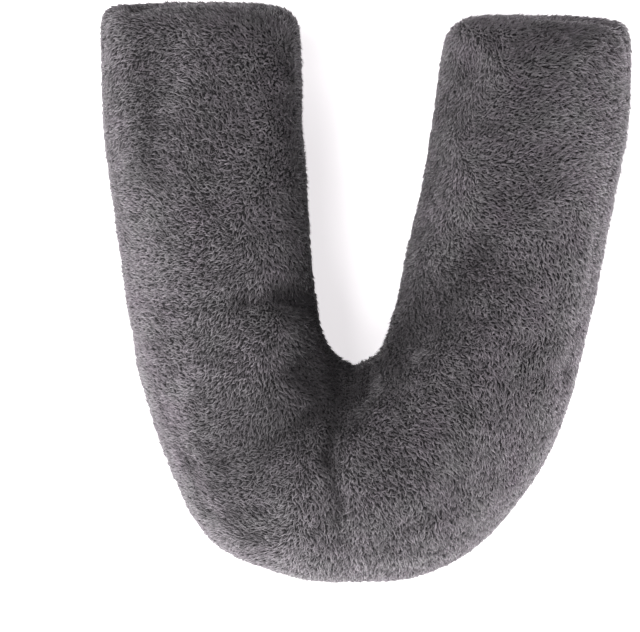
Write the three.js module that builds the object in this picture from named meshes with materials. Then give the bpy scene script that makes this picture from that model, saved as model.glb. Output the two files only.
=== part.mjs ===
// A U-shaped plush pillow: two U-shaped panels sewn together round their edge, turned and stuffed.
// Millimetres. It lies on its back on z = 0, its thickness along +Z, and +Y runs from the rounded
// bend of the U to the ends of its two arms. The sizes reach to the tips of the pile.

import * as THREE from 'three';
import { mergeVertices } from 'three/addons/utils/BufferGeometryUtils.js';

// Cuts across the stuffed tube, a row for each, from the left arm's end round to the right arm's.
// neck is where a cut meets the edge of the neck gap, outer where it meets the outer edge.
const CUTS = [
  { neckX: -59, neckY: 248, outerX: -232, outerY: 248, thickness: 120 },
  { neckX: -58, neckY: 148, outerX: -229, outerY: 146, thickness: 130 },
  { neckX: -55, neckY: 96, outerX: -222, outerY: 93, thickness: 132 },
  { neckX: -52, neckY: 46, outerX: -215, outerY: 40, thickness: 134 },
  { neckX: -47, neckY: 3, outerX: -207, outerY: -16, thickness: 137 },
  { neckX: -40, neckY: -27, outerX: -195, outerY: -76, thickness: 141 },
  { neckX: -30, neckY: -44, outerX: -173, outerY: -145, thickness: 144 },
  { neckX: -22, neckY: -51, outerX: -137, outerY: -214, thickness: 145 },
  { neckX: -17, neckY: -54, outerX: -75, outerY: -243, thickness: 144 },
  { neckX: -12, neckY: -57, outerX: -14, outerY: -250, thickness: 143 },
  { neckX: -6, neckY: -54, outerX: 49, outerY: -243, thickness: 144 },
  { neckX: 1, neckY: -51, outerX: 102, outerY: -211, thickness: 145 },
  { neckX: 9, neckY: -44, outerX: 146, outerY: -155, thickness: 144 },
  { neckX: 17, neckY: -27, outerX: 172, outerY: -95, thickness: 141 },
  { neckX: 26, neckY: 0, outerX: 188, outerY: -28, thickness: 137 },
  { neckX: 36, neckY: 45, outerX: 202, outerY: 34, thickness: 134 },
  { neckX: 47, neckY: 96, outerX: 214, outerY: 93, thickness: 132 },
  { neckX: 55, neckY: 148, outerX: 225, outerY: 145, thickness: 130 },
  { neckX: 68, neckY: 238, outerX: 231, outerY: 238, thickness: 120 },
];

// Folds and puckers of the front panel, a row for each: the line of its bottom in plan, the
// distance over which it falls to about a third, and its depth.
const FOLDS = [
  { fromX: -14, fromY: -66, toX: -26, toY: -98, halfWidth: 18, depth: 11 },
  { fromX: -26, fromY: -98, toX: -30, toY: -136, halfWidth: 16, depth: 7 },
  { fromX: -30, fromY: -136, toX: -22, toY: -206, halfWidth: 16, depth: 6 },
  { fromX: -46, fromY: -14, toX: -104, toY: -8, halfWidth: 12, depth: 7 },
  { fromX: -58, fromY: -78, toX: -34, toY: -96, halfWidth: 14, depth: 6 },
  { fromX: -116, fromY: -162, toX: -58, toY: -128, halfWidth: 13, depth: 4 },
  { fromX: 24, fromY: -46, toX: 54, toY: -40, halfWidth: 11, depth: 6 },
  { fromX: 60, fromY: -8, toX: 72, toY: 22, halfWidth: 13, depth: 5 },
  { fromX: 50, fromY: -182, toX: 12, toY: -214, halfWidth: 12, depth: 3 },
  { fromX: -138, fromY: -184, toX: -110, toY: -200, halfWidth: 8, depth: 5 },
  { fromX: 162, fromY: -66, toX: 186, toY: -60, halfWidth: 10, depth: 5 },
  { fromX: 108, fromY: 206, toX: 168, toY: 220, halfWidth: 13, depth: 4 },
  { fromX: -198, fromY: 240, toX: -166, toY: 236, halfWidth: 9, depth: 3 },
];

// Shape of a cut.
const GIRTH_LEVEL = 0.46; // height of the widest girth, as a share of the thickness
const FULLNESS_ABOVE = 2.3; // power of the rounded upper half: 2 is an ellipse, more is squarer
const FULLNESS_BELOW = 2.35; // power of the lower half
const SINK = 12; // how far below the floor the lower half would reach if nothing held it up
const FLOOR_EASE = 5; // height within which the underside turns into its flat

// Rounding of an arm's end.
const END_LENGTH = 58; // length over which the end rounds off
const END_PLAN_POWER = 5.5; // power of its corners seen from above
const END_SIDE_POWER = 2.7; // power of its nose seen from the side

// The closing seam, which draws the cover in all round the edge.
const SEAM_LEVEL = 0.54; // its place between the widest girth and the top, as a share of that rise
const SEAM_HALF_WIDTH = 7;
const SEAM_DEPTH = 3.5;

// Unevenness of the stuffing: soft waves in plan.
const LUMP_LENGTH = 62; // length of a wave
const LUMP_HEIGHT = 1.6;

// Folds and waves fade out from the top towards the walls.
const FULL_EFFECT_TILT = 0.7; // upward part of the surface's normal from which they act in full

// The grid of faces.
const AROUND = 46; // faces round a cut
const ALONG = 98; // rings of faces from end to end
const END_RINGS = 10; // of these, the rings that round off each end
const END_CROWDING = 2.2; // how strongly the end rings gather at the tip
const WALL_CROWDING = 0.24; // how strongly the faces gather at the side walls

const PLUSH = { color: 0x5d595c, roughness: 0.95, metalness: 0 };

const neckEdge = new THREE.SplineCurve(CUTS.map((cut) => new THREE.Vector2(cut.neckX, cut.neckY)));
const outerEdge = new THREE.SplineCurve(CUTS.map((cut) => new THREE.Vector2(cut.outerX, cut.outerY)));
const thicknesses = new THREE.SplineCurve(CUTS.map((cut, row) => new THREE.Vector2(row, cut.thickness)));
const spine = new THREE.SplineCurve(CUTS.map((cut) => new THREE.Vector2(
  (cut.neckX + cut.outerX) / 2,
  (cut.neckY + cut.outerY) / 2,
)));
spine.arcLengthDivisions = 800;
const spineLength = spine.getLength();

// How far along the spine ring number ring lies: close together at the tips, even between them.
function distanceAlong(ring) {
  const fromEnd = Math.min(ring, ALONG - ring);
  const step = (spineLength - 2 * END_LENGTH) / (ALONG - 2 * END_RINGS);
  const distance = fromEnd < END_RINGS
    ? END_LENGTH * (fromEnd / END_RINGS) ** END_CROWDING
    : END_LENGTH + (fromEnd - END_RINGS) * step;
  return ring < ALONG / 2 ? distance : spineLength - distance;
}

// Share of the full size that a cut keeps at this distance from an arm's tip: a superellipse.
function endShare(toTip, power) {
  const inEnd = Math.max(0, 1 - toTip / END_LENGTH);
  return (1 - inEnd ** power) ** (1 / power);
}

// Height above the floor: zero where the round would sink deeper than the ease, then a smooth rise.
function restOnFloor(height) {
  if (height <= -FLOOR_EASE) return 0;
  if (height >= FLOOR_EASE) return height;
  return (height + FLOOR_EASE) ** 2 / (4 * FLOOR_EASE);
}

// A point of the stuffed tube, and its height above the seam. share runs round the cut from 0 to
// 1: it starts under the middle and climbs the outer wall first.
function tubePoint(along, share) {
  const toTip = Math.min(along, spineLength - along);
  const t = spine.getUtoTmapping(along / spineLength);
  const neck = neckEdge.getPoint(t);
  const outer = outerEdge.getPoint(t);
  const thickness = thicknesses.getPoint(t).y;
  const angle = 2 * Math.PI * share - WALL_CROWDING * Math.sin(4 * Math.PI * (share - 0.25)) - Math.PI / 2;
  const cosine = Math.cos(angle);
  const sine = Math.sin(angle);
  const power = 2 / (sine > 0 ? FULLNESS_ABOVE : FULLNESS_BELOW);
  const outwards = Math.sign(cosine) * Math.abs(cosine) ** power * endShare(toTip, END_PLAN_POWER);
  const upwards = Math.abs(sine) ** power * endShare(toTip, END_SIDE_POWER);
  const place = neck.lerp(outer, (1 + outwards) / 2);
  const girth = GIRTH_LEVEL * thickness;
  const rise = thickness - girth;
  const height = sine > 0 ? girth + rise * upwards : restOnFloor(girth - (girth + SINK) * upwards);
  return { x: place.x, y: place.y, z: height, aboveSeam: height - girth - SEAM_LEVEL * rise };
}

// Distance in plan from a point to a fold's line.
function distanceToFold(x, y, fold) {
  const from = new THREE.Vector3(fold.fromX, fold.fromY, 0);
  const line = new THREE.Line3(from, new THREE.Vector3(fold.toX, fold.toY, 0));
  const point = new THREE.Vector3(x, y, 0);
  return line.closestPointToPoint(point, true, new THREE.Vector3()).distanceTo(point);
}

// Depth of all the folds at a point in plan: a bell-shaped trough for each.
function foldDepth(x, y) {
  return FOLDS.reduce((depth, fold) => {
    const away = distanceToFold(x, y, fold) / fold.halfWidth;
    return depth + fold.depth * Math.exp(-away * away);
  }, 0);
}

// Height of the soft waves of the stuffing at a point in plan.
function lumpHeight(x, y) {
  const turn = 2 * Math.PI / LUMP_LENGTH;
  return LUMP_HEIGHT * (Math.sin(turn * (x + 0.4 * y)) + Math.sin(turn * (0.7 * y - 0.5 * x) + 1)) / 2;
}

// The closed tube, as a sphere's grid of points moved onto the cuts, its poles at the arms' tips.
function stuffedTube() {
  const geometry = new THREE.SphereGeometry(1, AROUND, ALONG);
  const { position, uv } = geometry.attributes;
  const aboveSeam = new Float32Array(position.count);
  for (let index = 0; index < position.count; index += 1) {
    const ring = Math.round((1 - uv.getY(index)) * ALONG);
    const column = Math.floor(uv.getX(index) * AROUND + 0.25) / AROUND;
    const point = tubePoint(distanceAlong(ring), column);
    position.setXYZ(index, point.x, point.y, point.z);
    aboveSeam[index] = point.aboveSeam;
  }
  geometry.deleteAttribute('normal');
  geometry.deleteAttribute('uv');
  geometry.setAttribute('aboveSeam', new THREE.BufferAttribute(aboveSeam, 1));
  return mergeVertices(geometry, 1e-3);
}

// Draws the seam and the folds into the tube along its normals, and lets the stuffing swell it.
function finishCover(geometry) {
  geometry.computeVertexNormals();
  const { position, normal, aboveSeam } = geometry.attributes;
  const point = new THREE.Vector3();
  const outward = new THREE.Vector3();
  for (let index = 0; index < position.count; index += 1) {
    point.fromBufferAttribute(position, index);
    outward.fromBufferAttribute(normal, index);
    const fromSeam = aboveSeam.getX(index) / SEAM_HALF_WIDTH;
    const seam = SEAM_DEPTH * Math.exp(-fromSeam * fromSeam);
    const onTop = THREE.MathUtils.smoothstep(outward.z, 0, FULL_EFFECT_TILT);
    const relief = lumpHeight(point.x, point.y) - foldDepth(point.x, point.y);
    point.addScaledVector(outward, onTop * relief - seam);
    position.setXYZ(index, point.x, point.y, point.z);
  }
  geometry.deleteAttribute('aboveSeam');
  geometry.deleteAttribute('normal');
}

// Puts the middle of the pillow's plan on the origin.
function centreInPlan(geometry) {
  geometry.computeBoundingBox();
  const middle = geometry.boundingBox.getCenter(new THREE.Vector3());
  geometry.translate(-middle.x, -middle.y, 0);
}

function pillow() {
  const geometry = stuffedTube();
  finishCover(geometry);
  centreInPlan(geometry);
  geometry.computeVertexNormals();
  const mesh = new THREE.Mesh(geometry, new THREE.MeshStandardMaterial(PLUSH));
  mesh.name = 'pillow';
  return mesh;
}

const group = new THREE.Group();
group.add(pillow());

export default group;
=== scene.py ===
import math
import bpy
import numpy as np
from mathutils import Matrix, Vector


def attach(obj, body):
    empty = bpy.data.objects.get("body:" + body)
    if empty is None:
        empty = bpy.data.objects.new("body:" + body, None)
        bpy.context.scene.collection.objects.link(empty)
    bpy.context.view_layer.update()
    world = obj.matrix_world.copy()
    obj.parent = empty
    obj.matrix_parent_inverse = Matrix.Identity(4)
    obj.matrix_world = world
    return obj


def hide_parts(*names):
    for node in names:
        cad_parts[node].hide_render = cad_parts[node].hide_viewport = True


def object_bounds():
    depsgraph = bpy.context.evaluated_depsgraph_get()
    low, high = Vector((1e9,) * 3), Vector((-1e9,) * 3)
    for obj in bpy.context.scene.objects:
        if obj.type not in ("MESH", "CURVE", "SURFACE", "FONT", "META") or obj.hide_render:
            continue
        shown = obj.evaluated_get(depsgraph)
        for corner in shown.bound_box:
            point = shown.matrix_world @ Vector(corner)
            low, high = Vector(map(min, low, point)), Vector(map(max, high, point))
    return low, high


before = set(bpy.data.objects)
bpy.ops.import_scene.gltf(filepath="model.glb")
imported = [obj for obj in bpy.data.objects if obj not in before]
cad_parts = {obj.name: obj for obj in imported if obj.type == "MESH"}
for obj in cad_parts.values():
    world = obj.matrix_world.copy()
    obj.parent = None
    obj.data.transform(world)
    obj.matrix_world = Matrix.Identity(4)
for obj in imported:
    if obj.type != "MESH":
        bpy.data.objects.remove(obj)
cadLow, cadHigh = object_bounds()
print("the packed pillow is loaded")

mm = 0.001

# Cuts across the stuffed tube, from the left arm's end round to the right arm's, in millimetres:
# where each meets the neck gap's edge and the outer edge, and how thick the pillow is there.
cuts = np.array([
    # neckX, neckY, outerX, outerY, thickness
    (-59, 248, -237, 248, 120),
    (-58, 148, -231, 146, 130),
    (-55, 96, -222, 93, 132),
    (-52, 46, -215, 40, 134),
    (-47, 3, -207, -16, 137),
    (-40, -27, -195, -76, 141),
    (-30, -44, -173, -145, 144),
    (-22, -51, -137, -214, 145),
    (-17, -54, -75, -243, 144),
    (-12, -57, -14, -250, 143),
    (-6, -54, 49, -243, 144),
    (1, -51, 102, -211, 145),
    (9, -44, 146, -155, 144),
    (17, -27, 172, -95, 141),
    (26, 0, 188, -28, 137),
    (36, 45, 202, 34, 134),
    (47, 96, 214, 93, 132),
    (55, 148, 225, 145, 130),
    (68, 239, 231, 235, 120),
], float) * mm

# The stuffed cover under the pile.
cover = {
    "planMiddle": np.array([-1.0, -1.0]) * mm,  # middle of the plan that the cuts make
    "spineSamples": 4001,  # points at which the tube's length is measured
    "rings": 132,  # rings of faces from arm end to arm end
    "around": 60,  # faces round a cut
    "endRings": 15,  # of the rings, those that round off each end
    "endCrowding": 2.2,  # how strongly these gather at the tip
    "wallCrowding": 0.16,  # how strongly the faces gather at the side walls
    "endLength": 58 * mm,  # length over which an arm's end rounds off
    "endPlanPower": 5.5,  # power of its corners seen from above
    "endSidePower": 2.7,  # power of its nose seen from the side
    "girthLevel": 0.46,  # height of the widest girth, as a share of the thickness
    # Power of a cut's upper half, on its outer side and beside the neck gap: the arms are fuller
    # than the bend, which slopes off to its sides.
    "fullnessAbove": np.array([
        # along, outer side, neck side
        (0.00, 3.00, 2.60),
        (0.14, 3.00, 2.70),
        (0.22, 2.65, 2.80),
        (0.29, 2.35, 2.40),
        (0.37, 2.05, 1.95),
        (0.50, 2.05, 2.05),
        (0.63, 2.05, 2.20),
        (0.71, 2.25, 2.30),
        (0.80, 2.55, 2.35),
        (1.00, 2.65, 2.40),
    ]),
    "crestBlend": 0.6,  # how far to each side of a cut's middle its two upper powers blend
    "sideBlend": 0.2,  # how far to each side of it the outer and the neck side blend
    "fullnessBelow": 2.35,  # power of its lower half
    "sink": 12 * mm,  # how far below the floor the lower half would reach
    "floorEase": 5 * mm,  # height within which the underside turns into its flat
    "pileHeight": 2.6 * mm,  # how far the cover lies inside the tips of the pile
    "startInset": 1.2 * mm,  # how much smaller still it starts, before the stuffing swells it
    # Blender's cloth settings: a negative shrink cuts the cloth too large, so that it creases.
    "cloth": {
        "quality": 6,
        "mass": 0.25,
        "tension_stiffness": 20,
        "compression_stiffness": 20,
        "bending_stiffness": 0.6,
        "use_pressure": True,
        "uniform_pressure_force": 4.0,
        "shrink_min": -0.025,
    },
    "steps": 20,  # frames of the cloth simulation
    "mostMove": 6 * mm,  # the furthest that a point may move
    "mostOut": 1.8 * mm,  # the furthest that it may move straight outwards
    "floorGrip": 30 * mm,  # height below which the floor holds the cover still
    # Soft lumps of the stuffing, each a height, a wave length and a seed.
    "lumps": [(1.4 * mm, 70 * mm, 3), (0.6 * mm, 28 * mm, 4)],
    "lumpsOnWalls": 0.3,  # how high they are on the side walls, as a share of the front
    "lumpsFadeIn": (10 * mm, 40 * mm),  # heights between which they grow to their full size
    "frontFrom": 0.7,  # upward part of the normal from which a point is wholly on the front
}

# The closing seam, and the folds and puckers of the front panel.
seam = {
    "halfWidth": 4.5 * mm,
    "depth": 3.2 * mm,
    "neckSide": 0.35,  # how deep it is beside the neck gap, as a share of the outer side
    # How far along the tube, how far up between girth and top, and how much of it shows.
    "course": np.array([
        # along, level, showing
        (0.00, 0.54, 0.60),
        (0.03, 0.54, 0.50),
        (0.07, 0.54, 0.15),
        (0.30, 0.56, 0.15),
        (0.36, 0.62, 0.15),
        (0.395, 0.58, 0.15),
        (0.415, 0.54, 0.45),
        (0.46, 0.48, 0.45),
        (0.50, 0.50, 0.15),
        (0.58, 0.54, 0.10),
        (0.66, 0.54, 0.10),
        (0.72, 0.56, 0.30),
        (0.79, 0.56, 0.45),
        (0.84, 0.54, 0.15),
        (0.95, 0.54, 0.30),
        (1.00, 0.54, 0.60),
    ]),
}
folds = np.array([
    # fromX, fromY, toX, toY, halfWidth, depth
    (-15, -58, -26, -98, 18, 15),
    (-26, -98, -33, -138, 11, 12),
    (-33, -138, -23, -190, 9, 7),
    (-23, -190, -24, -226, 9, 4),
    (-38, -14, -72, -5, 13, 11),
    (-72, -5, -104, -8, 9, 5),
    (-56, -70, -28, -94, 17, 10),
    (-34, -96, -84, -124, 15, 15),
    (-84, -124, -123, -145, 14, 14),
    (-62, -108, -124, -138, 38, 10),
    (24, -42, 62, -8, 23, 14),
    (62, -8, 94, 30, 19, 11),
    (-3, -57, -4, -80, 13, 12),
    (50, -182, 12, -214, 12, 3),
    (-141, -180, -127, -188, 6, 4),
    (166, -66, 186, -60, 9, 3),
    (108, 206, 168, 220, 12, 4),
    (-198, 240, -166, 236, 8, 4),
    (-178, 205, -178, 100, 20, 8),
    (83, 188, 77, 150, 18, 8),
    (57, 130, 47, 50, 11, 3),
], float) * mm


def throughRows(values, place):
    # Catmull-Rom: the curve takes each row's value where place is that row's number,
    # with half the step between its neighbours as its slope there.
    row = np.clip(np.floor(place).astype(int), 0, len(values) - 2)
    part = (place - row)[..., None] if values.ndim > 1 else place - row
    before, here = values[np.maximum(row - 1, 0)], values[row]
    after, beyond = values[row + 1], values[np.minimum(row + 2, len(values) - 1)]
    slopeHere, slopeAfter = (after - before) / 2, (beyond - here) / 2
    return (
        (2 * here - 2 * after + slopeHere + slopeAfter) * part**3
        + (3 * after - 3 * here - 2 * slopeHere - slopeAfter) * part**2
        + slopeHere * part
        + here
    )


def spine():
    # The line midway between the two edges, and how far along it each of its points lies.
    place = np.linspace(0, len(cuts) - 1, cover["spineSamples"])
    rows = throughRows(cuts, place)
    middle = (rows[:, 0:2] + rows[:, 2:4]) / 2
    step = np.linalg.norm(np.diff(middle, axis=0), axis=1)
    return place, np.concatenate([[0], np.cumsum(step)])


def smooth(value, low, high):
    # 3t^2 - 2t^3, with t the value's share of the way from low to high.
    t = np.clip((value - low) / (high - low), 0, 1)
    return t * t * (3 - 2 * t)


def unit(vectors):
    # Each vector divided by its length.
    return vectors / np.maximum(np.linalg.norm(vectors, axis=-1, keepdims=True), 1e-12)


def tube(along, share, length, place, distance):
    # A superellipse on each cut: outwards is cos^(2/n) and upwards sin^(2/n), both scaled near an
    # arm's tip by (1 - d^p)^(1/p). Below, what would sink into the floor is laid flat on it.
    # The seam's pull is exp(-(height above the seam / halfWidth)^2), times how much of it shows.
    at = np.interp(along, distance, place)
    rows = throughRows(cuts, at)
    inEnd = np.maximum(0, 1 - np.minimum(along, length - along) / cover["endLength"])
    planShare = (1 - inEnd ** cover["endPlanPower"]) ** (1 / cover["endPlanPower"])
    sideShare = (1 - inEnd ** cover["endSidePower"]) ** (1 / cover["endSidePower"])
    crowding = cover["wallCrowding"] * np.sin(4 * np.pi * (share - 0.25))
    angle = 2 * np.pi * share - crowding - np.pi / 2
    cosine, sine = np.cos(angle), np.sin(angle)
    fullness = cover["fullnessAbove"]
    outerPower = np.interp(along / length, fullness[:, 0], fullness[:, 1])
    neckPower = np.interp(along / length, fullness[:, 0], fullness[:, 2])
    crest = smooth(cosine, -cover["crestBlend"], cover["crestBlend"])
    above = neckPower + (outerPower - neckPower) * crest
    power = 2 / np.where(sine > 0, above, cover["fullnessBelow"])
    outwards = np.sign(cosine) * np.abs(cosine) ** power * planShare
    upwards = np.abs(sine) ** power * sideShare
    neck, outer, thickness = rows[..., 0:2], rows[..., 2:4], rows[..., 4]
    plan = neck + (outer - neck) * ((1 + outwards) / 2)[..., None]
    girth = cover["girthLevel"] * thickness
    rise = thickness - girth
    sunk = girth - (girth + cover["sink"]) * upwards
    ease = cover["floorEase"]
    rested = np.where(sunk >= ease, sunk, np.maximum(sunk + ease, 0) ** 2 / (4 * ease))
    height = np.where(sine > 0, girth + rise * upwards, rested)
    course = seam["course"]
    level = np.interp(along / length, course[:, 0], course[:, 1])
    shown = np.interp(along / length, course[:, 0], course[:, 2])
    aboveSeam = height - girth - level * rise
    outerSide = smooth(cosine, -cover["sideBlend"], cover["sideBlend"])
    shown = shown * (seam["neckSide"] + (1 - seam["neckSide"]) * outerSide)
    stitched = shown * np.exp(-((aboveSeam / seam["halfWidth"]) ** 2))
    numbers = {"stitched": stitched, "aboveSeam": aboveSeam, "outerSide": outerSide}
    return np.concatenate([plan, height[..., None]], axis=-1), numbers


def coverGrid():
    # Rings close together at the tips and even between them; one point at each tip.
    place, distance = spine()
    length = distance[-1]
    ring = np.arange(cover["rings"] + 1)
    fromEnd = np.minimum(ring, cover["rings"] - ring)
    step = (length - 2 * cover["endLength"]) / (cover["rings"] - 2 * cover["endRings"])
    inEnd = cover["endLength"] * (fromEnd / cover["endRings"]) ** cover["endCrowding"]
    even = cover["endLength"] + (fromEnd - cover["endRings"]) * step
    along = np.where(fromEnd < cover["endRings"], inEnd, even)
    along = np.where(ring * 2 < cover["rings"], along, length - along)
    share = np.arange(cover["around"]) / cover["around"]
    grid = np.meshgrid(along[1:-1], share, indexing="ij")
    points, numbers = tube(grid[0], grid[1], length, place, distance)
    tips, tipNumbers = tube(along[[0, -1]], np.zeros(2), length, place, distance)
    points = np.concatenate([tips[:1], points.reshape(-1, 3), tips[1:]])
    points[:, 0:2] -= cover["planMiddle"]
    for name, (start, end) in tipNumbers.items():
        numbers[name] = np.concatenate([[start], numbers[name].ravel(), [end]])
    numbers["travelled"] = np.concatenate([along[:1], grid[0].ravel(), along[-1:]]) / length
    return points, numbers


def coverFaces():
    # Quads between neighbouring rings, and a fan of triangles round each tip, with their
    # corners' places on a flat map: along the tube sideways, round it upwards.
    rings, around = cover["rings"] - 1, cover["around"]
    ring, column = np.meshgrid(np.arange(rings - 1), np.arange(around), indexing="ij")
    turned = (column + 1) % around
    first = 1 + ring * around
    quads = np.stack([first + column, first + around + column, first + around + turned,
                      first + turned], -1).reshape(-1, 4)
    mapX = np.stack([ring, ring + 1, ring + 1, ring], -1).reshape(-1, 4) + 1
    mapY = np.stack([column, column, column + 1, column + 1], -1).reshape(-1, 4)
    spoke = np.arange(around)
    beside = (spoke + 1) % around
    last = 1 + (rings - 1) * around
    tip = last + around
    nearFan = np.stack([np.zeros_like(spoke), 1 + spoke, 1 + beside], -1)
    farFan = np.stack([np.full_like(spoke, tip), last + beside, last + spoke], -1)
    nearX = np.tile([0, 1, 1], (around, 1))
    farX = np.tile([rings + 1, rings, rings], (around, 1))
    nearY = np.stack([spoke + 0.5, spoke, spoke + 1], -1)
    farY = np.stack([spoke + 0.5, spoke + 1, spoke], -1)
    faces = [quads, nearFan, farFan]
    across = np.concatenate([part.ravel() for part in (mapX, nearX, farX)]) / (rings + 1)
    upwards = np.concatenate([part.ravel() for part in (mapY, nearY, farY)]) / around
    return faces, np.stack([across, upwards], -1)


def makeMesh(name, points, faceGroups, flatMap):
    # Builds a mesh from whole arrays: faceGroups holds an array of faces for each corner count.
    mesh = bpy.data.meshes.new(name)
    mesh.vertices.add(len(points))
    mesh.vertices.foreach_set("co", points.astype(np.float32).ravel())
    corners = np.concatenate([group.ravel() for group in faceGroups])
    sizes = np.concatenate([np.full(len(group), group.shape[1]) for group in faceGroups])
    mesh.loops.add(len(corners))
    mesh.loops.foreach_set("vertex_index", corners.astype(np.int32))
    mesh.polygons.add(len(sizes))
    mesh.polygons.foreach_set("loop_start", (np.cumsum(sizes) - sizes).astype(np.int32))
    mesh.polygons.foreach_set("use_smooth", np.ones(len(sizes), bool))
    mesh.update(calc_edges=True)
    layer = mesh.uv_layers.new(name="OFBake")
    layer.data.foreach_set("uv", flatMap.astype(np.float32).ravel())
    mesh.validate()
    piece = bpy.data.objects.new(name, mesh)
    bpy.context.scene.collection.objects.link(piece)
    return piece


def setNumbers(mesh, name, values):
    attribute = mesh.attributes.new(name, "FLOAT", "POINT")
    attribute.data.foreach_set("value", values.astype(np.float32))


def setVectors(mesh, name, vectors):
    attribute = mesh.attributes.new(name, "FLOAT_VECTOR", "POINT")
    attribute.data.foreach_set("vector", vectors.astype(np.float32).ravel())


def getNumbers(mesh, name):
    values = np.zeros(len(mesh.vertices), np.float32)
    mesh.attributes[name].data.foreach_get("value", values)
    return values.astype(float)


def getPoints(mesh):
    points = np.zeros(len(mesh.vertices) * 3, np.float32)
    mesh.vertices.foreach_get("co", points)
    return points.reshape(-1, 3).astype(float)


def getNormals(mesh):
    normals = np.zeros(len(mesh.vertices) * 3, np.float32)
    mesh.vertices.foreach_get("normal", normals)
    return normals.reshape(-1, 3).astype(float)


def setPoints(mesh, points):
    mesh.vertices.foreach_set("co", points.astype(np.float32).ravel())
    mesh.update()


def shownMesh(piece):
    # The piece's mesh with its modifiers worked in.
    graph = bpy.context.evaluated_depsgraph_get()
    return bpy.data.meshes.new_from_object(piece.evaluated_get(graph))


def swell(piece):
    # Cloth under even pressure. A point's move is cut to mostOut along its normal and to mostMove
    # in all, and fades out near the floor.
    start = getPoints(piece.data)
    cloth = piece.modifiers.new("stuffing", "CLOTH")
    for name, value in cover["cloth"].items():
        setattr(cloth.settings, name, value)
    cloth.settings.effector_weights.gravity = 0
    cloth.collision_settings.use_collision = False
    for step in range(1, cover["steps"] + 1):
        bpy.context.scene.frame_set(step)
    swollen = shownMesh(piece)
    move = getPoints(swollen) - start
    bpy.data.meshes.remove(swollen)
    piece.modifiers.remove(cloth)
    bpy.context.scene.frame_set(1)
    far = np.linalg.norm(move, axis=1)
    print("the cover swelled by up to", round(far.max() / mm, 1), "mm")
    normals = getNormals(piece.data)
    outwards = (move * normals).sum(1)
    move -= normals * np.maximum(outwards - cover["mostOut"], 0)[:, None]
    kept = np.minimum(1, cover["mostMove"] / np.maximum(far, 1e-9))
    held = smooth(start[:, 2], cover["pileHeight"], cover["floorGrip"])
    setPoints(piece.data, start + move * (kept * held)[:, None])


def subdivide(piece):
    # One Catmull-Clark subdivision, worked into the mesh.
    finer = piece.modifiers.new("finer", "SUBSURF")
    finer.levels = finer.render_levels = 1
    fine = shownMesh(piece)
    piece.modifiers.remove(finer)
    coarse = piece.data
    piece.data = fine
    bpy.data.meshes.remove(coarse)


def frontShare(normals):
    # 1 on the front, fading to 0 where the side walls stand upright.
    return smooth(normals[:, 2], 0, cover["frontFrom"])


def foldDepth(points, normals):
    # The greatest of all the folds' depth * exp(-(distance to the fold's line / halfWidth)^2),
    # fading out down the side walls.
    deepest = np.zeros(len(points))
    for fromX, fromY, toX, toY, halfWidth, depth in folds:
        start, line = np.array([fromX, fromY]), np.array([toX - fromX, toY - fromY])
        offset = points[:, 0:2] - start
        t = np.clip(offset @ line / (line @ line), 0, 1)
        away = np.linalg.norm(offset - t[:, None] * line, axis=1)
        deepest = np.maximum(deepest, depth * np.exp(-((away / halfWidth) ** 2)))
    return deepest * frontShare(normals)


# Soft noise: how many sines it adds up, how their frequencies spread round that of the wave asked
# for, and what the sum is divided by.
noise = {"sines": 9, "frequencies": (0.6, 1.5), "divisor": 3.2}


def softNoise(points, wave, seed):
    # Smooth numbers of about -1 to 1: sines along random directions, added up and divided.
    dice = np.random.default_rng(seed)
    turns = unit(dice.normal(size=(noise["sines"], 3))) * (2 * np.pi / wave)
    turns = turns * dice.uniform(*noise["frequencies"], (noise["sines"], 1))
    phases = dice.uniform(0, 2 * np.pi, noise["sines"])
    return np.sin(points @ turns.T + phases).sum(1) / noise["divisor"]


def addedNoise(points, start, layers):
    # The start value plus each layer's height times its noise.
    return sum((height * softNoise(points, wave, seed) for height, wave, seed in layers), start)


def sew(piece):
    # Draws the seam, the folds and soft lumps in along the normals.
    points, normals = getPoints(piece.data), getNormals(piece.data)
    groove = seam["depth"] * getNumbers(piece.data, "stitched")
    onWalls, height = cover["lumpsOnWalls"], points[:, 2]
    lumps = addedNoise(points, 0, cover["lumps"])
    lumps *= (onWalls + (1 - onWalls) * frontShare(normals)) * smooth(height, *cover["lumpsFadeIn"])
    inwards = groove + foldDepth(points, normals) - lumps
    setPoints(piece.data, points - normals * inwards[:, None])


def makeCover():
    # The tube drawn in along its normals and kept above the floor, then swelled and sewn.
    points, numbers = coverGrid()
    faces, flatMap = coverFaces()
    piece = makeMesh("plushCover", points, faces, flatMap)
    for name, values in numbers.items():
        setNumbers(piece.data, name, values)
    inset = cover["pileHeight"] + cover["startInset"]
    shrunk = points - getNormals(piece.data) * inset
    shrunk[:, 2] = np.maximum(shrunk[:, 2], cover["pileHeight"])
    setPoints(piece.data, shrunk)
    swell(piece)
    subdivide(piece)
    sew(piece)
    return piece


plushCover = makeCover()
print("the cover is stuffed and sewn")

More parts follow.
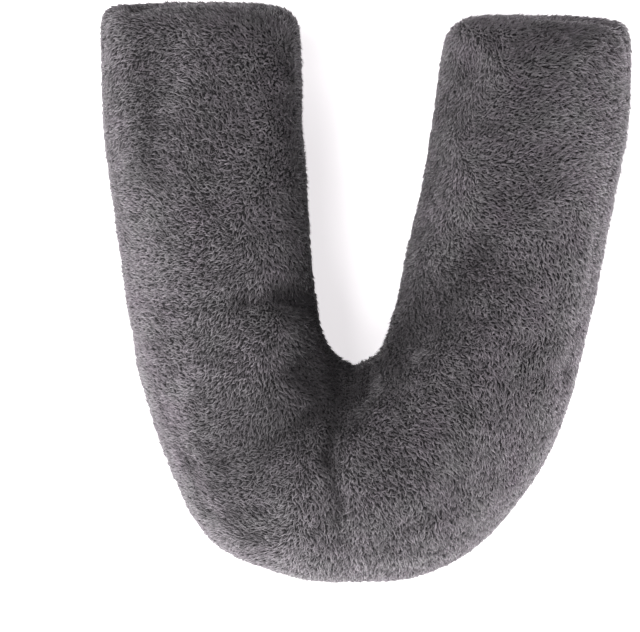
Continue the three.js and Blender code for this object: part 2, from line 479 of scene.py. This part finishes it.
# The pile: closed tapered locks of fibres, rooted all over the cover.
pile = {
    "seed": 11,
    # Grid in space that holds at most one root in each cell, and the locks' width there.
    "front": (1.61 * mm, 1.5 * mm),
    "walls": (1.95 * mm, 1.8 * mm),
    "belowGirth": (2.3 * mm, 2.3 * mm),
    "resting": (3.5 * mm, 3.8 * mm),
    # The upward part of the normal that parts these zones, and the height below which it rests.
    "frontNormal": 0.1,
    "belowNormal": -0.4,
    "restingNormal": -0.9,
    "restingHeight": 1.6 * cover["pileHeight"],
    "tries": 5,  # random points for each cell's area, so that nearly every cell gets one
    "cellSteps": (1, 10007, 100000007),  # steps in x, y and z that give each cell its own number
    "length": 5.8 * mm,
    "flatness": 0.75,  # a lock's thickness, as a share of its width
    "bellyAt": 0.4,  # how far along a lock is widest
    "spread": 0.24,  # how unlike the locks' sizes are
    "mostSize": 1.5,
    # Degrees between a lock and the cover, at its root and at its tip.
    "combedRise": (58, -8),
    "tousledRise": (80, 14),
    "restingRise": (24, -4),
    "riseSpread": (10, 5),  # how far single locks stray from those angles
    "leastBend": 0.1,  # radians by which a lock bends at the least
    # Degrees by which single locks stray from the nap.
    "combedSpread": 12,
    "tousledSpread": 42,
    "napReach": 21 * mm,  # how far each spot of the nap table makes itself felt
    "swirl": 14,  # degrees by which the nap itself wanders
    "swirlWave": 30 * mm,
    "swirlSeed": 7,
    "curl": 0.22,  # sideways bend of a lock, as a share of its length
    "wallDroop": 0.9,  # how strongly the pile hangs down on the side walls
    "seamParting": 0.4,  # how strongly the pile parts along the seam
    "seamShortens": 0.3,  # the share of a lock's length that the seam holds down
    # A lock's tone, from 0 for dark to 1 for pale: its middle, soft patches that are each a height,
    # a wave length and a seed, and how unlike neighbouring locks are.
    "middleTone": 0.5,
    "patches": [(0.16, 24 * mm, 21), (0.1, 9 * mm, 22)],
    "toneSpread": 0.27,
    "steepness": (0.05, 0.5),  # 1 less the upward part of the normal, where the side walls begin
    "endFade": (0.03, 0.10),  # shares of the tube's length within which the ends aren't side walls
    # Painted light and shade in the pile's tone along the tube. Over all it is partly the pile's
    # own tone and partly painted light and shade. Besides that, on each side wall the outer side is
    # paler as painted light and the neck side darker as painted shade.
    "paintedLightAndShade": np.array([
        # along, all, outer side, neck side
        (0.00, -0.06, -0.40, -0.30),
        (0.08, 0.03, -0.40, -0.35),
        (0.13, 0.03, -0.20, -0.50),
        (0.17, 0.02, 0.25, -0.60),
        (0.21, 0.02, 0.70, -0.60),
        (0.27, 0.03, 1.60, -0.45),
        (0.32, -0.03, 2.20, -0.45),
        (0.36, -0.10, 2.00, -0.40),
        (0.39, -0.18, 1.70, -0.40),
        (0.42, -0.21, 1.00, -0.40),
        (0.45, -0.12, 0.30, -0.50),
        (0.50, 0.02, 0.10, -0.80),
        (0.56, 0.02, 0.25, -0.60),
        (0.62, 0.19, 1.30, -0.60),
        (0.70, 0.22, 0.50, -0.40),
        (0.76, 0.30, 0.30, -0.45),
        (0.85, 0.46, -0.20, -0.60),
        (1.00, 0.34, -0.40, -0.20),
    ]),
    "foldShade": 0.75,  # how much painted shade darkens the pile in the folds, most where the deepest fold is
    "rootDepth": 0.8 * mm,  # how deep a lock starts below the cover
    "floorGap": 0.3 * mm,
    "mapMargin": 0.06,  # bare edge of a lock's square on the flat map, as a share of it
}
# The way the nap is brushed, spot by spot in plan: millimetres, degrees from +X towards +Y, and
# order, from 0 where the pile stands tousled to 1 where it is combed flat.
nap = np.array([
    # x, y, heading, order
    (-186, 230, 184, 0.8),
    (-150, 230, 174, 0.5),
    (-95, 228, 155, 0.5),
    (-218, 198, 241, 0.9),
    (-186, 198, 214, 0.5),
    (-154, 198, 183, 0.4),
    (-100, 195, 200, 0),
    (-218, 160, 230, 0.9),
    (-186, 166, 201, 0.6),
    (-125, 155, 130, 0.2),
    (-90, 140, 175, 0.4),
    (-216, 134, 262, 0.6),
    (-190, 120, 165, 0),
    (-135, 120, 140, 0.2),
    (-95, 105, 178, 0.2),
    (-180, 68, 162, 0.7),
    (-125, 72, 180, 0.3),
    (-88, 60, 285, 0.3),
    (-186, 38, 165, 0.7),
    (-154, 30, 194, 0.6),
    (-120, 10, 212, 0.7),
    (-88, 5, 251, 0.8),
    (-58, 10, 288, 1),
    (-176, -28, 157, 0.5),
    (-120, -35, 240, 0.9),
    (-88, -28, 200, 0.4),
    (-58, -35, 310, 0.7),
    (-178, -60, 130, 0.4),
    (-120, -60, 225, 1),
    (-90, -75, 257, 0.7),
    (-58, -70, 300, 0.5),
    (-154, -105, 140, 0.5),
    (-118, -105, 220, 0.7),
    (-90, -120, 240, 0.8),
    (-45, -115, 272, 0.4),
    (-150, -152, 124, 0.3),
    (-115, -152, 196, 0.8),
    (-85, -155, 205, 0.5),
    (-30, -160, 280, 0.4),
    (-120, -186, 157, 0.9),
    (-90, -195, 150, 0.8),
    (-50, -195, 258, 0.2),
    (-15, -200, 275, 0.4),
    (5, -120, 313, 0.3),
    (37, -110, 330, 0.5),
    (30, -160, 310, 0.2),
    (40, -190, 280, 0.5),
    (69, -135, 296, 1),
    (80, -185, 278, 0.8),
    (101, -135, 272, 0.9),
    (132, -135, 252, 1),
    (125, -90, 245, 0.8),
    (95, -90, 290, 0.4),
    (60, -85, 325, 0.4),
    (164, -57, 259, 0.9),
    (130, -50, 225, 0.5),
    (45, -45, 310, 0.4),
    (37, -25, 326, 0.7),
    (70, -20, 345, 0.3),
    (101, -25, 302, 0.3),
    (132, -15, 310, 0.3),
    (164, -10, 262, 0.4),
    (75, 25, 338, 0.3),
    (105, 25, 345, 0.4),
    (132, 35, 290, 0.5),
    (160, 38, 280, 0.6),
    (69, 71, 286, 0.7),
    (105, 71, 345, 0.7),
    (132, 71, 358, 0.5),
    (190, 75, 290, 0.3),
    (164, 102, 22, 0.5),
    (69, 150, 260, 1),
    (101, 140, 10, 0.8),
    (132, 150, 1, 0.8),
    (164, 134, 351, 0.8),
    (196, 150, 340, 0.1),
    (101, 198, 289, 0.9),
    (132, 198, 5, 0.4),
    (164, 200, 357, 0.7),
    (196, 198, 326, 1),
    (115, 232, 315, 0.5),
], float)


def brushed(points):
    # The mean of the spots' directions and orders, each weighted by exp(-(distance / reach)^2),
    # and to the direction a slow random swirl is added.
    away = points[:, None, 0:2] - nap[None, :, 0:2] * mm
    weight = np.exp(-(away**2).sum(-1) / pile["napReach"] ** 2) + 1e-12
    heading = np.radians(nap[:, 2])
    across, upwards = weight @ np.cos(heading), weight @ np.sin(heading)
    wander = softNoise(points, pile["swirlWave"], pile["swirlSeed"])
    swirl = math.radians(pile["swirl"]) * wander
    return np.arctan2(upwards, across) + swirl, weight @ nap[:, 3] / weight.sum(1)


def scatter(mesh, dice, cell, wanted):
    # Random points on the wanted faces, even by area, and the first of them in each cell in space.
    mesh.calc_loop_triangles()
    corners = np.zeros(len(mesh.loop_triangles) * 3, np.int32)
    mesh.loop_triangles.foreach_get("vertices", corners)
    corners = corners.reshape(-1, 3)
    points, normals = getPoints(mesh), getNormals(mesh)
    corners = corners[wanted(points[corners].mean(1), normals[corners].mean(1))]
    edges = points[corners[:, 1:]] - points[corners[:, :1]]
    area = np.linalg.norm(np.cross(edges[:, 0], edges[:, 1]), axis=1) / 2
    count = int(area.sum() / cell**2 * pile["tries"])
    ends = np.cumsum(area)
    face = np.searchsorted(ends, dice.uniform(0, ends[-1], count)).clip(0, len(area) - 1)
    second, third = dice.uniform(size=(2, count))
    past = second + third > 1
    second, third = np.where(past, 1 - second, second), np.where(past, 1 - third, third)
    weights = np.stack([1 - second - third, second, third], 1)
    place = (points[corners[face]] * weights[:, :, None]).sum(1)
    box = np.floor(place / cell).astype(np.int64)
    _, first = np.unique(box @ np.array(pile["cellSteps"]), return_index=True)
    chosen, weights = corners[face[first]], weights[first]
    found = {name: (getNumbers(mesh, name)[chosen] * weights).sum(1)
             for name in ("stitched", "aboveSeam", "outerSide", "travelled")}
    found["root"] = place[first]
    found["normal"] = unit((normals[chosen] * weights[:, :, None]).sum(1))
    return found


def scatterAll(mesh, dice):
    # Roots zone by zone: over the front, on the side walls, below the girth and where it rests.
    def rests(place, normal):
        return (place[:, 2] < pile["restingHeight"]) & (normal[:, 2] < pile["restingNormal"])

    def isBelow(place, normal):
        return (normal[:, 2] < pile["belowNormal"]) & ~rests(place, normal)

    def isWall(place, normal):
        return (normal[:, 2] >= pile["belowNormal"]) & (normal[:, 2] < pile["frontNormal"])

    def isFront(place, normal):
        return normal[:, 2] >= pile["frontNormal"]

    parts = []
    zones = {"front": isFront, "walls": isWall, "belowGirth": isBelow, "resting": rests}
    for zone, wanted in zones.items():
        cell, width = pile[zone]
        found = scatter(mesh, dice, cell, wanted)
        found["width"] = np.full(len(found["root"]), width)
        found["resting"] = np.full(len(found["root"]), zone == "resting")
        parts.append(found)
    return {name: np.concatenate([part[name] for part in parts]) for name in parts[0]}


def lockPoints(roots, normals, lean, length, width, rise, curl):
    # A lock's middle line turns from the angle rise[0] at its root to rise[1] at its tip:
    # the integral of cos(angle) along lean and of sin(angle) along the normal, and sideways
    # curl * part^2. Round its belly stand three corners, 120 degrees apart.
    start, turn = rise[0], rise[1] - rise[0]
    side = np.cross(normals, lean)
    rows = []
    for part, isBelly in ((0, False), (pile["bellyAt"], True), (1, False)):
        angle = start + turn * part
        forward = (np.sin(angle) - np.sin(start)) / turn
        upward = (np.cos(start) - np.cos(angle)) / turn
        sideways = curl * part**2
        middle = roots + length[:, None] * (
            forward[:, None] * lean + upward[:, None] * normals + sideways[:, None] * side)
        if not isBelly:
            rows.append(middle)
            continue
        over = np.cos(angle)[:, None] * normals - np.sin(angle)[:, None] * lean
        for corner in (90, 210, 330):
            across, upwards = math.cos(math.radians(corner)), math.sin(math.radians(corner))
            out = across * side + upwards * pile["flatness"] * over
            rows.append(middle + out * (width / 2)[:, None])
    return np.stack(rows, 1)


# A lock's five points are its root, three round its belly, and its tip.
lockFaces = np.array(
    [(0, 1 + (k + 1) % 3, 1 + k) for k in range(3)]
    + [(1 + k, 1 + (k + 1) % 3, 4) for k in range(3)]
)
belly = pile["bellyAt"]
lockReach = np.array([0, belly, belly, belly, 1])
# Where those faces' corners lie on a lock's own square of the flat map: x round it, y along it.
lockMap = np.array(
    [corner for k in range(3) for corner in ((k + 0.5, 0), (k + 1, belly), (k, belly))]
    + [corner for k in range(3) for corner in ((k, belly), (k + 1, belly), (k + 0.5, 1))]
) / np.array([3, 1])


def lockTone(roots, normals, along, outerSide):
    # The middle tone with its patches, plus the table's painted light and shade, less the painted
    # shade in the folds.
    tone = addedNoise(roots, pile["middleTone"], pile["patches"])
    fromEnd = np.minimum(along, 1 - along)
    steep = smooth(1 - normals[:, 2], *pile["steepness"]) * smooth(fromEnd, *pile["endFade"])
    # The table's painted light and shade: paler outer side walls, darker walls beside the neck gap.
    overall, outer, neck = (np.interp(along, pile["paintedLightAndShade"][:, 0], pile["paintedLightAndShade"][:, column])
                            for column in (1, 2, 3))
    tone += overall + steep * (outerSide * outer + (1 - outerSide) * neck)
    # Painted shade in the folds' creases.
    return tone - pile["foldShade"] * foldDepth(roots, normals) / folds[:, 5].max()


def growPile(mesh):
    # Each lock leans the way the nap is brushed, laid into the cover: the direction less its part
    # along the normal. Its length and width are the usual ones times exp(random).
    dice = np.random.default_rng(pile["seed"])
    found = scatterAll(mesh, dice)
    roots, normals, resting = found["root"], found["normal"], found["resting"]
    count = len(roots)
    heading, order = brushed(roots)
    lean = np.stack([np.cos(heading), np.sin(heading), np.zeros(count)], 1)
    lean[:, 2] -= pile["wallDroop"] * (1 - np.abs(normals[:, 2]))
    lean[:, 2] += pile["seamParting"] * found["stitched"] * np.sign(found["aboveSeam"])
    lean = unit(lean - normals * (lean * normals).sum(1, keepdims=True))
    spread = pile["tousledSpread"] + (pile["combedSpread"] - pile["tousledSpread"]) * order
    stray = np.radians(spread * dice.normal(0, 1, count))[:, None]
    lean = np.cos(stray) * lean + np.sin(stray) * np.cross(normals, lean)
    size = np.minimum(np.exp(dice.normal(0, pile["spread"], (2, count))), pile["mostSize"])
    length = pile["length"] * size[0] * (1 - pile["seamShortens"] * found["stitched"])
    width = found["width"] * size[1]
    tousled, combed, flat = (np.array(pile[name], float)[:, None]
                             for name in ("tousledRise", "combedRise", "restingRise"))
    rise = np.where(resting, flat, tousled + (combed - tousled) * order)
    rise = np.radians(rise + dice.normal(0, pile["riseSpread"], (count, 2)).T)
    rise[0] = np.maximum(rise[0], rise[1] + pile["leastBend"])
    curl = dice.normal(0, pile["curl"], count)
    start = roots - normals * pile["rootDepth"]
    points = lockPoints(start, normals, lean, length, width, rise, curl)
    points[..., 2] = np.maximum(points[..., 2], pile["floorGap"])
    tone = lockTone(roots, normals, found["travelled"], found["outerSide"])
    tone = np.clip(tone + dice.normal(0, pile["toneSpread"], count), 0, 1)
    return points, normals, tone, found["travelled"]


def layPile(points, normals, tone, travelled, names):
    # The locks in order along the tube, shared evenly among the named pieces.
    pieces = []
    corners, margin = len(lockReach), pile["mapMargin"]
    order = np.argsort(travelled, kind="stable")
    for name, locks in zip(names, np.array_split(order, len(names))):
        count = len(locks)
        side = math.ceil(math.sqrt(count))
        faces = (lockFaces[None] + corners * np.arange(count)[:, None, None]).reshape(-1, 3)
        cell = np.stack([np.arange(count) % side, np.arange(count) // side], 1)
        flatMap = (cell[:, None] + margin + (1 - 2 * margin) * lockMap[None]) / side
        piece = makeMesh(name, points[locks].reshape(-1, 3), [faces], flatMap.reshape(-1, 2))
        setNumbers(piece.data, "reach", np.tile(lockReach, count))
        setNumbers(piece.data, "tone", np.repeat(tone[locks], corners))
        setVectors(piece.data, "coverNormal", np.repeat(normals[locks], corners, axis=0))
        pieces.append(piece)
        print(name, "has", count, "locks")
    return pieces


pileNames = ["pileLeftEnd", "pileLeftArm", "pileLeftBend",
             "pileRightBend", "pileRightArm", "pileRightEnd"]
pilePieces = layPile(*growPile(plushCover.data), pileNames)
print("the pile is grown")


class Socket:
    # A node's output on which +, * and ** add Math nodes.
    def __init__(self, material, output):
        self.material, self.output = material, output

    def maths(self, operation, first, second):
        return self.material.node("ShaderNodeMath", {"operation": operation}, {0: first, 1: second})

    def __add__(self, other):
        return self.maths("ADD", self, other)

    def __radd__(self, other):
        return self.maths("ADD", other, self)

    def __mul__(self, other):
        return self.maths("MULTIPLY", self, other)

    def __rmul__(self, other):
        return self.maths("MULTIPLY", other, self)

    def __pow__(self, other):
        return self.maths("POWER", self, other)

    def __rpow__(self, other):
        return self.maths("POWER", other, self)


class Material:
    # A node material whose nodes are added by one method.
    def __init__(self, name):
        self.made = bpy.data.materials.new(name)
        self.made.use_nodes = True
        self.tree = self.made.node_tree
        self.shader = self.tree.nodes["Principled BSDF"]

    def fill(self, node, values):
        for key, value in values.items():
            if isinstance(value, Socket):
                self.tree.links.new(value.output, node.inputs[key])
            else:
                node.inputs[key].default_value = value

    def node(self, kind, settings=None, values=None, output=0):
        node = self.tree.nodes.new(kind)
        for key, value in (settings or {}).items():
            setattr(node, key, value)
        self.fill(node, values or {})
        return Socket(self, node.outputs[output])

    def number(self, name):
        return self.node("ShaderNodeAttribute", {"attribute_name": name}, output="Fac")

    def place(self):
        return self.node("ShaderNodeTexCoord", output="Object")

    def noise(self, size, detail, where):
        values = {"Vector": where, "Scale": 1 / size, "Detail": detail}
        return self.node("ShaderNodeTexNoise", {}, values, output="Fac")

    def mix(self, factor, first, second):
        settings = {"data_type": "RGBA"}
        return self.node("ShaderNodeMix", settings, {0: factor, 6: first, 7: second}, output=2)

    def softNormal(self, name, share):
        # The face's own normal, turned by a share towards the direction that the attribute holds.
        own = self.node("ShaderNodeNewGeometry", output="Normal")
        soft = self.node("ShaderNodeAttribute", {"attribute_name": name}, output="Vector")
        settings = {"data_type": "VECTOR"}
        mixed = self.node("ShaderNodeMix", settings, {0: share, 4: own, 5: soft}, output=1)
        return self.node("ShaderNodeVectorMath", {"operation": "NORMALIZE"}, {0: mixed})

    def bump(self, height, depth, normal=None):
        values = {"Height": height, "Distance": depth, "Strength": 1.0}
        if normal:
            values["Normal"] = normal
        return self.node("ShaderNodeBump", {}, values)

    def surface(self, values):
        self.fill(self.shader, values)
        return self.made


plush = {
    # The root colour is painted shade: the locks are dark at the root as the pile is shaded deep
    # down.
    "root": (0.030, 0.028, 0.030, 1),
    "darkTip": (0.057, 0.052, 0.056, 1),
    "paleTip": (0.211, 0.210, 0.209, 1),
    "purpleTip": (0.225, 0.185, 0.221, 1),
    "purplePatch": 26 * mm,  # size of the patches in which the pale tips turn purple
    # The backing colour is painted shade at the bottom of the pile.
    "backing": (0.036, 0.034, 0.036, 1),
    "fibre": 0.35 * mm,  # size of the bumps that stand for single fibres
    "fibreDepth": 0.12 * mm,
    "fibreShare": 0.2,  # how much of a tip's tone is its fibres', and not the lock's own
    "rootShadeFade": 0.7,  # power with which the painted shade at a lock's root fades towards its tip
    "sheen": 0.7,
    "sheenTint": (0.9, 0.87, 0.9, 1),
    "soft": 0.35,  # how far the locks take the light as the whole pile does, not each for itself
    "knit": 0.8 * mm,  # size of the backing's stitches
    "knitDepth": 0.3 * mm,
}


def plushMaterial():
    # Dark at a lock's root as painted shade deep in the pile, and at its tip between a dark and a
    # pale grey, as its tone says, which also carries painted light and shade. The pale grey turns
    # purple here and there.
    made = Material("plush pile")
    reach, tone = made.number("reach"), made.number("tone")
    fibres = made.noise(plush["fibre"], detail=2.0, where=made.place())
    patch = made.noise(plush["purplePatch"], detail=1.0, where=made.place())
    pale = made.mix(patch, plush["paleTip"], plush["purpleTip"])
    share = plush["fibreShare"]
    tip = made.mix(tone * (1 - share) + fibres * share, plush["darkTip"], pale)
    # Painted shade at the roots, fading towards the tips.
    colour = made.mix(reach ** plush["rootShadeFade"], plush["root"], tip)
    soft = made.softNormal("coverNormal", plush["soft"])
    return made.surface({
        "Base Color": colour,
        "Roughness": 0.8,
        "Sheen Weight": plush["sheen"],
        "Sheen Roughness": 0.35,
        "Sheen Tint": plush["sheenTint"],
        "Specular IOR Level": 0.25,
        "Normal": made.bump(fibres, plush["fibreDepth"], soft),
    })


def backingMaterial():
    # The knitted backing under the pile, painted dark as the shade between the roots.
    made = Material("plush backing")
    knit = made.noise(plush["knit"], detail=3.0, where=made.place())
    colour = made.mix(knit, plush["root"], plush["backing"])
    return made.surface({
        "Base Color": colour,
        "Roughness": 0.95,
        "Specular IOR Level": 0.1,
        "Normal": made.bump(knit, plush["knitDepth"]),
    })


pileMaterial, coverMaterial = plushMaterial(), backingMaterial()
plushCover.data.materials.append(coverMaterial)
for piece in pilePieces:
    piece.data.materials.append(pileMaterial)
for piece in [plushCover, *pilePieces]:
    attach(piece, "root")
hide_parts("pillow")
print("the materials are on")

stage = {
    "floorSize": 12.0,
    "floorColour": (0.93, 0.90, 0.92, 1),
    "floorGlow": 0.75,  # the white floor gives light of its own, as a light table does
    "worldColour": (1, 1, 1, 1),
    "worldStrength": 0.26,
    # The lights: where they stand, how wide they are, and their power in watts.
    "lights": {
        "highFromLeftHead": ((-1.19, 0.69, 1.97), 1.0, 24),
        "highFromLeftFoot": ((-0.69, -1.19, 1.97), 1.0, 23),
        "keyFromLeft": ((-2.17, -0.20, 1.01), 1.0, 44),
        "lowFromLeft": ((-2.00, -1.25, 0.40), 1.0, 53),
        "lowFromFoot": ((-0.20, -2.20, 0.90), 1.0, 37),
        "lowFromRightFoot": ((2.06, -1.19, 0.29), 1.0, 86),
        "lowFromRightHead": ((2.06, 1.19, 0.29), 1.0, 33),
    },
}


def makeFloor():
    half = stage["floorSize"] / 2
    corners = np.array([(-half, -half, 0), (half, -half, 0), (half, half, 0), (-half, half, 0)])
    floor = makeMesh("floor", corners, [np.array([[0, 1, 2, 3]])], corners[:, 0:2] / half)
    made = Material("pale floor")
    floor.data.materials.append(made.surface({
        "Base Color": stage["floorColour"],
        "Emission Color": stage["floorColour"],
        "Emission Strength": stage["floorGlow"],
        "Roughness": 0.9,
        "Specular IOR Level": 0.1,
    }))


def makeLights():
    # Each light looks at the middle of the spot on which the pillow lies.
    for name, (place, size, power) in stage["lights"].items():
        lamp = bpy.data.lights.new(name, "AREA")
        lamp.shape = "DISK"
        lamp.size = size
        lamp.energy = power
        light = bpy.data.objects.new(name, lamp)
        light.location = place
        towards = -light.location.normalized()
        light.rotation_euler = towards.to_track_quat("-Z", "Y").to_euler()
        bpy.context.scene.collection.objects.link(light)
    world = bpy.data.worlds.new("studio")
    world.use_nodes = True
    sky = world.node_tree.nodes["Background"]
    sky.inputs["Color"].default_value = stage["worldColour"]
    sky.inputs["Strength"].default_value = stage["worldStrength"]
    bpy.context.scene.world = world


camera = {
    "scale": 0.86 * mm,  # size of a pixel at the height of the widest girth
    "imageWide": 640,
    "imageHigh": 632,
    "pillowAcross": 368,  # the pixel on which the middle of the pillow's plan falls
    "pillowDown": 292,
    "distance": 2.2,
    "sensor": 36,
}


def makeCamera():
    # It looks straight down, so a pixel's width is distance * sensor / (lens * image width).
    data = bpy.data.cameras.new("camera")
    data.sensor_width = camera["sensor"]
    view = camera["scale"] * camera["imageWide"]
    data.lens = camera["distance"] * camera["sensor"] / view
    eye = bpy.data.objects.new("camera", data)
    girth = cover["girthLevel"] * float(cadHigh[2])
    eye.location = (
        (camera["imageWide"] / 2 - camera["pillowAcross"]) * camera["scale"],
        (camera["pillowDown"] - camera["imageHigh"] / 2) * camera["scale"],
        girth + camera["distance"],
    )
    bpy.context.scene.collection.objects.link(eye)
    bpy.context.scene.camera = eye


makeFloor()
makeLights()
makeCamera()
bpy.context.scene.view_settings.view_transform = "Standard"
print("the floor, lights and camera stand")
